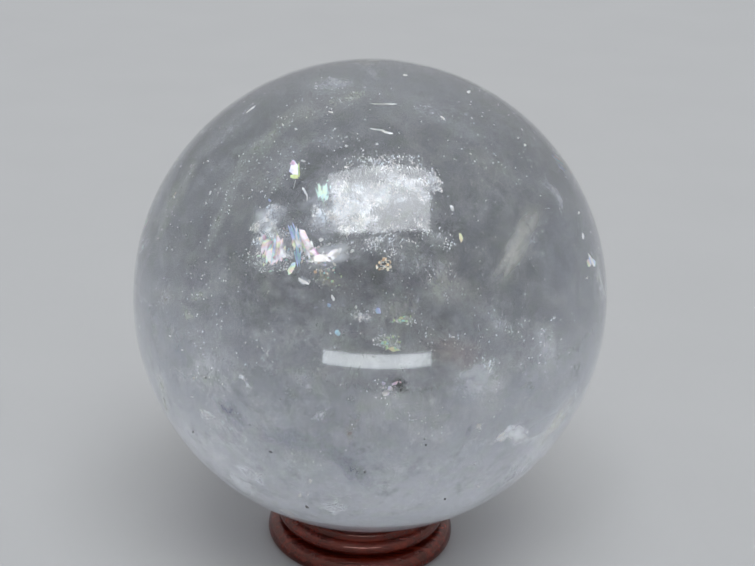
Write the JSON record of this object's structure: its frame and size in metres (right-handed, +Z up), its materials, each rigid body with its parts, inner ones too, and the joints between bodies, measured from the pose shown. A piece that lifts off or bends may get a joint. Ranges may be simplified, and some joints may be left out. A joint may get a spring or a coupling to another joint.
{
  "type": "calcite sphere",
  "caption": "Polished translucent grey-white calcite sphere resting in the dished top of a small turned reddish-brown wooden ring stand.",
  "frame": {"origin": "middle of the stand's flat underside, straight below the sphere's centre", "axes": "+Z up along the stand's turning axis through the sphere's centre; +X to the right and +Y away from the viewer in the picture"},
  "size_m": [0.08, 0.08, 0.0867],
  "materials": {
    "calcite": "hand-polished, hazy and see-through, with healed cracks, cleavage flakes and specks inside",
    "lacquered_wood": "dark reddish-brown stain under clear gloss lacquer, turned"
  },
  "bodies": {
    "root": {"calcite_sphere": "calcite", "ring_stand": "lacquered_wood"}
  },
  "joints": []
}
